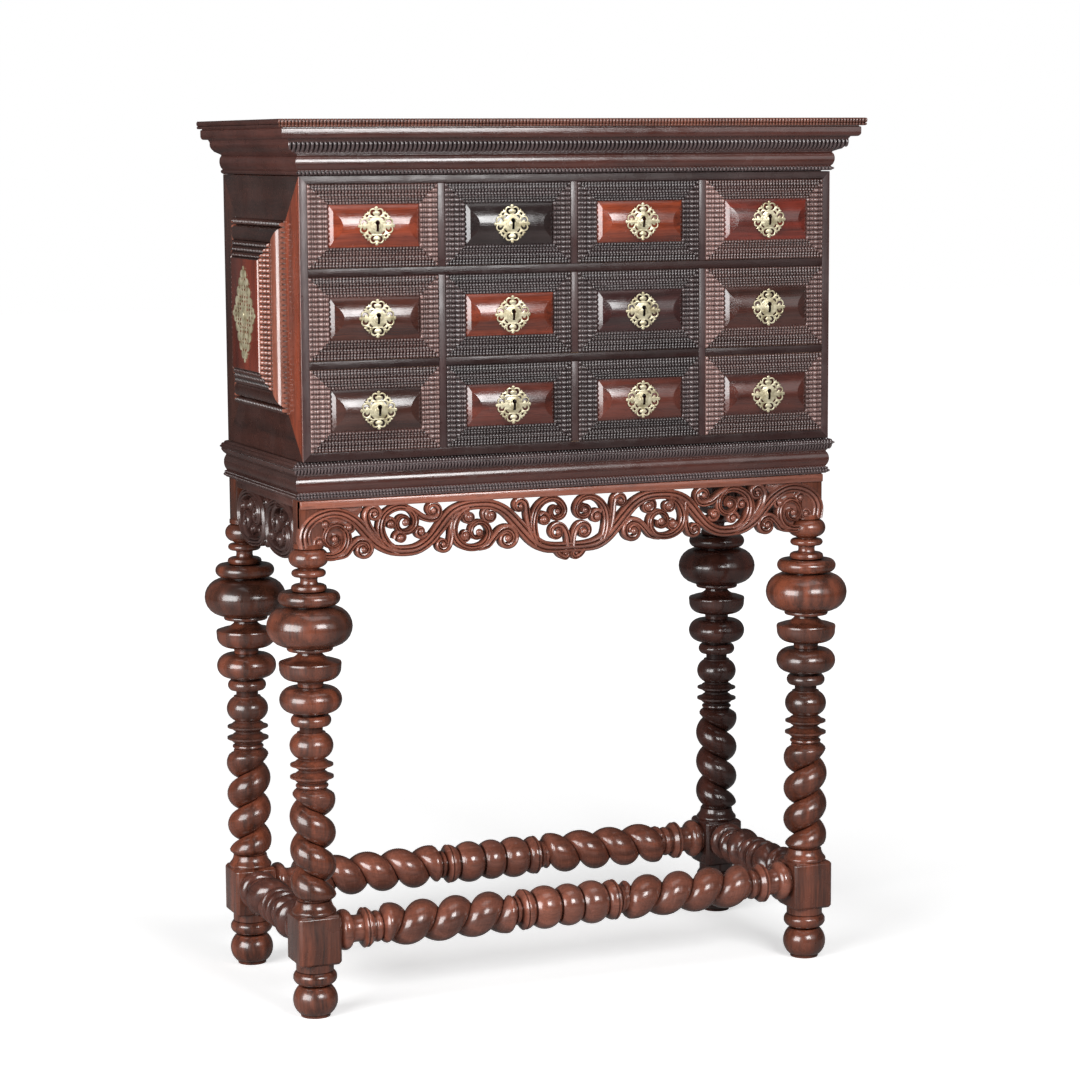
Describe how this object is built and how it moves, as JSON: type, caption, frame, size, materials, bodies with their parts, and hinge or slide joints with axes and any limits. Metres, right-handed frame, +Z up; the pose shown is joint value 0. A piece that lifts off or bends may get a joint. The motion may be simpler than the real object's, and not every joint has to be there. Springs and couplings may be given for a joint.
{
  "type": "cabinet of drawers on a turned stand",
  "caption": "Table cabinet with drawers, ripple mouldings and pierced metal escutcheons, on a stand with pierced scroll aprons, bulbous turned legs and twist-turned stretchers.",
  "frame": {"origin": "on the floor, below the middle of the whole object", "axes": "+Z up, -Y the drawer fronts, +X to the right as seen from the front"},
  "size_m": [1.0086, 0.4924, 1.41],
  "materials": {
    "leg_wood": "glossy wax",
    "carved_wood": "satin wax",
    "ripple_wood": "glossy polish",
    "case_wood": "glossy polish",
    "front_wood": "glossy polish",
    "plain_wood": "bare dry wood",
    "pale_brass": "dull worn",
    "lock_iron": "dark forged"
  },
  "bodies": {
    "cabinet": {"leg_front_left": "leg_wood", "leg_front_right": "leg_wood", "leg_rear_left": "leg_wood", "leg_rear_right": "leg_wood", "stretcher_front": "leg_wood", "stretcher_rear": "leg_wood", "stretcher_left": "leg_wood", "stretcher_right": "leg_wood", "apron_front": "carved_wood", "apron_sides": "carved_wood", "stand_frame": "leg_wood", "stand_moulding": "ripple_wood", "case_sides": "case_wood", "case_top_and_bottom": "case_wood", "case_back": "plain_wood", "drawer_dividers": "case_wood", "cornice": "ripple_wood", "top_slab": "ripple_wood", "side_panels": "case_wood", "side_mounts": "pale_brass"},
    "drawer_top_1": {"drawer_top_1_box": "plain_wood", "drawer_top_1_front": "front_wood", "drawer_top_1_escutcheon": "pale_brass", "drawer_top_1_lock": "lock_iron"},
    "drawer_top_1_bolt": {"drawer_top_1_bolt": "lock_iron"},
    "drawer_top_2": {"drawer_top_2_box": "plain_wood", "drawer_top_2_front": "front_wood", "drawer_top_2_escutcheon": "pale_brass", "drawer_top_2_lock": "lock_iron"},
    "drawer_top_2_bolt": {"drawer_top_2_bolt": "lock_iron"},
    "drawer_top_3": {"drawer_top_3_box": "plain_wood", "drawer_top_3_front": "front_wood", "drawer_top_3_escutcheon": "pale_brass", "drawer_top_3_lock": "lock_iron"},
    "drawer_top_3_bolt": {"drawer_top_3_bolt": "lock_iron"},
    "drawer_top_4": {"drawer_top_4_box": "plain_wood", "drawer_top_4_front": "front_wood", "drawer_top_4_escutcheon": "pale_brass", "drawer_top_4_lock": "lock_iron"},
    "drawer_top_4_bolt": {"drawer_top_4_bolt": "lock_iron"},
    "drawer_left_deep": {"drawer_left_deep_box": "plain_wood", "drawer_left_deep_front": "front_wood", "drawer_left_deep_escutcheon": "pale_brass", "drawer_left_deep_lock": "lock_iron"},
    "drawer_left_deep_bolt": {"drawer_left_deep_bolt": "lock_iron"},
    "drawer_centre_middle": {"drawer_centre_middle_box": "plain_wood", "drawer_centre_middle_front": "front_wood", "drawer_centre_middle_escutcheon": "pale_brass", "drawer_centre_middle_lock": "lock_iron"},
    "drawer_centre_middle_bolt": {"drawer_centre_middle_bolt": "lock_iron"},
    "drawer_centre_bottom": {"drawer_centre_bottom_box": "plain_wood", "drawer_centre_bottom_front": "front_wood", "drawer_centre_bottom_escutcheon": "pale_brass", "drawer_centre_bottom_lock": "lock_iron"},
    "drawer_centre_bottom_bolt": {"drawer_centre_bottom_bolt": "lock_iron"},
    "drawer_right_deep": {"drawer_right_deep_box": "plain_wood", "drawer_right_deep_front": "front_wood", "drawer_right_deep_escutcheon": "pale_brass", "drawer_right_deep_lock": "lock_iron"},
    "drawer_right_deep_bolt": {"drawer_right_deep_bolt": "lock_iron"}
  },
  "joints": [
    {"name": "drawer_top_1_slide", "type": "slide", "parent": "cabinet", "child": "drawer_top_1", "axis": [0, -1, 0], "range_m": [0, 0.29]},
    {"name": "drawer_top_1_bolt_slide", "type": "slide", "parent": "drawer_top_1", "child": "drawer_top_1_bolt", "axis": [0, 0, 1], "range_m": [0, 0.008]},
    {"name": "drawer_top_2_slide", "type": "slide", "parent": "cabinet", "child": "drawer_top_2", "axis": [0, -1, 0], "range_m": [0, 0.29]},
    {"name": "drawer_top_2_bolt_slide", "type": "slide", "parent": "drawer_top_2", "child": "drawer_top_2_bolt", "axis": [0, 0, 1], "range_m": [0, 0.008]},
    {"name": "drawer_top_3_slide", "type": "slide", "parent": "cabinet", "child": "drawer_top_3", "axis": [0, -1, 0], "range_m": [0, 0.29]},
    {"name": "drawer_top_3_bolt_slide", "type": "slide", "parent": "drawer_top_3", "child": "drawer_top_3_bolt", "axis": [0, 0, 1], "range_m": [0, 0.008]},
    {"name": "drawer_top_4_slide", "type": "slide", "parent": "cabinet", "child": "drawer_top_4", "axis": [0, -1, 0], "range_m": [0, 0.29]},
    {"name": "drawer_top_4_bolt_slide", "type": "slide", "parent": "drawer_top_4", "child": "drawer_top_4_bolt", "axis": [0, 0, 1], "range_m": [0, 0.008]},
    {"name": "drawer_left_deep_slide", "type": "slide", "parent": "cabinet", "child": "drawer_left_deep", "axis": [0, -1, 0], "range_m": [0, 0.29]},
    {"name": "drawer_left_deep_bolt_slide", "type": "slide", "parent": "drawer_left_deep", "child": "drawer_left_deep_bolt", "axis": [0, 0, 1], "range_m": [0, 0.008]},
    {"name": "drawer_centre_middle_slide", "type": "slide", "parent": "cabinet", "child": "drawer_centre_middle", "axis": [0, -1, 0], "range_m": [0, 0.29]},
    {"name": "drawer_centre_middle_bolt_slide", "type": "slide", "parent": "drawer_centre_middle", "child": "drawer_centre_middle_bolt", "axis": [0, 0, 1], "range_m": [0, 0.008]},
    {"name": "drawer_centre_bottom_slide", "type": "slide", "parent": "cabinet", "child": "drawer_centre_bottom", "axis": [0, -1, 0], "range_m": [0, 0.29]},
    {"name": "drawer_centre_bottom_bolt_slide", "type": "slide", "parent": "drawer_centre_bottom", "child": "drawer_centre_bottom_bolt", "axis": [0, 0, 1], "range_m": [0, 0.008]},
    {"name": "drawer_right_deep_slide", "type": "slide", "parent": "cabinet", "child": "drawer_right_deep", "axis": [0, -1, 0], "range_m": [0, 0.29]},
    {"name": "drawer_right_deep_bolt_slide", "type": "slide", "parent": "drawer_right_deep", "child": "drawer_right_deep_bolt", "axis": [0, 0, 1], "range_m": [0, 0.008]}
  ]
}
